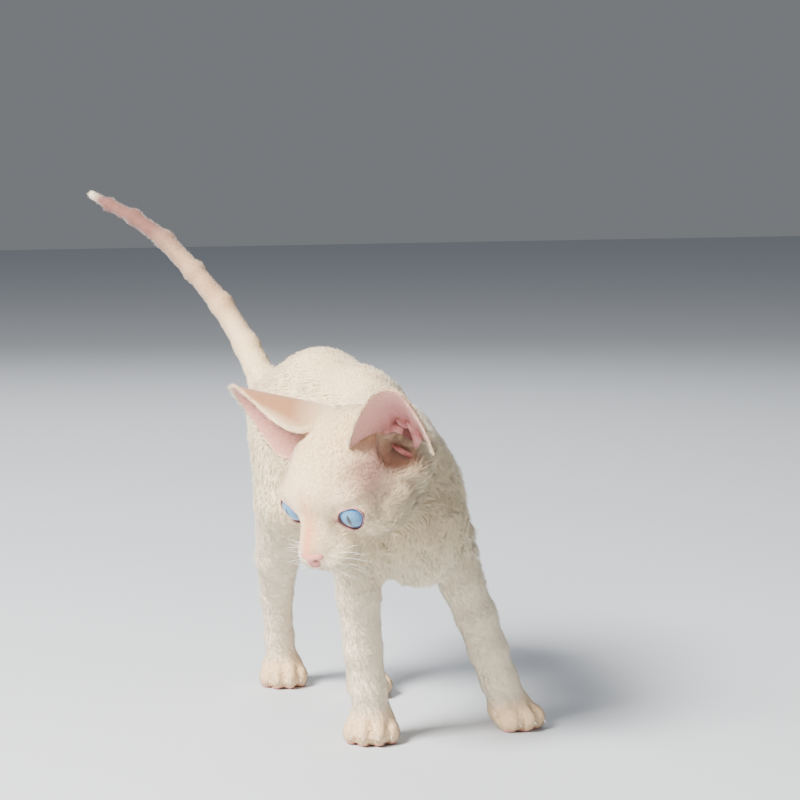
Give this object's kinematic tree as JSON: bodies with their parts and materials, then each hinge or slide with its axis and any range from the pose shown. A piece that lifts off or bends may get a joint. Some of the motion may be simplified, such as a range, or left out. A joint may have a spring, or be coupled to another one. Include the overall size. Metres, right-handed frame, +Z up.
{
  "type": "kitten model",
  "caption": "Short-haired cream kitten with big low-set ears and blue eyes, standing with its head turned to its right and its tail raised.",
  "frame": {"origin": "on the floor, under the middle of the kitten's bounding box", "axes": "the kitten faces -Y, its own left is +X, +Z is up, and its soles are at z = 0"},
  "size_m": [0.1418, 0.3068, 0.2397],
  "materials": {
    "coat": "short wavy fur, matt",
    "face": "very short fur, matt",
    "ear": "thin skin with fine down, matt",
    "eye": "wet, clear",
    "nose": "moist bare skin",
    "paw": "short fur, matt",
    "tail": "very short fur, matt"
  },
  "bodies": {
    "root": {"torso": "coat", "neck": "coat", "head": "face", "ear_left": "ear", "ear_right": "ear", "eye_left": "eye", "eye_right": "eye", "nose": "nose", "foreleg_left": "coat", "forepaw_left": "paw", "foreleg_right": "coat", "forepaw_right": "paw", "hindleg_left": "coat", "hindpaw_left": "paw", "hindleg_right": "coat", "hindpaw_right": "paw", "tail_root": "tail", "tail_middle": "tail", "tail_tip": "tail"}
  },
  "joints": []
}
